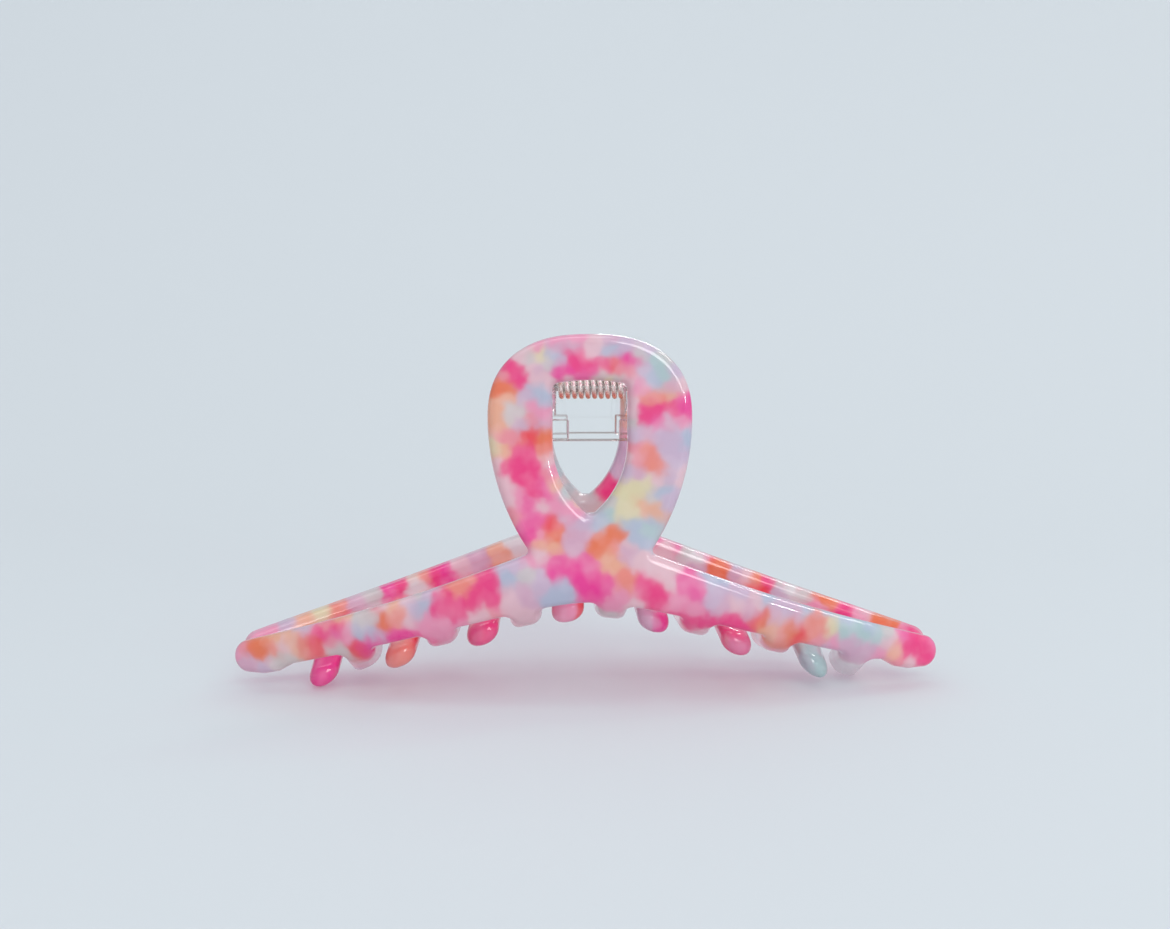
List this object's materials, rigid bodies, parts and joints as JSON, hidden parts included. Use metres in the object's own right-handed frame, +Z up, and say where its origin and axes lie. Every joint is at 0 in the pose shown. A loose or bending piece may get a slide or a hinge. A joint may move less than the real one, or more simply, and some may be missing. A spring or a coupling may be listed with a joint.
{
  "type": "hair claw clip",
  "caption": "Long hair claw clip of formed acetate: looped press ends, curved arms, curled interlocking teeth and a sprung hinge held by clear brackets.",
  "frame": {"origin": "on the ground, under the middle of the closed clip", "axes": "+X along the jaws, to the right as seen from the front jaw's side; +Y from the front jaw towards the rear jaw; +Z up, from the teeth to the press loops"},
  "size_m": [0.1104, 0.0272, 0.0555],
  "materials": {
    "acetate": "polished pressed-chip acetate, pink, coral, orange, lilac, pale blue and cream patches, slightly translucent",
    "clear_plastic": "clear moulded plastic",
    "steel": "plain drawn wire",
    "copper_plate": "copper-coloured plated spring wire"
  },
  "bodies": {
    "front_half": {"front_jaw": "acetate", "front_bracket": "clear_plastic", "hinge_pin": "steel", "torsion_spring": "copper_plate"},
    "rear_half": {"rear_jaw": "acetate", "rear_bracket": "clear_plastic"}
  },
  "joints": [
    {"name": "jaw_hinge", "type": "hinge", "parent": "front_half", "child": "rear_half", "pos_m": [0.00055, 0, 0.0474], "axis": [1, 0, 0], "range_deg": [0, 60], "stiffness_Nm_per_rad": 0.05, "springref_deg": -34.38, "deforming": ["torsion_spring"]}
  ]
}
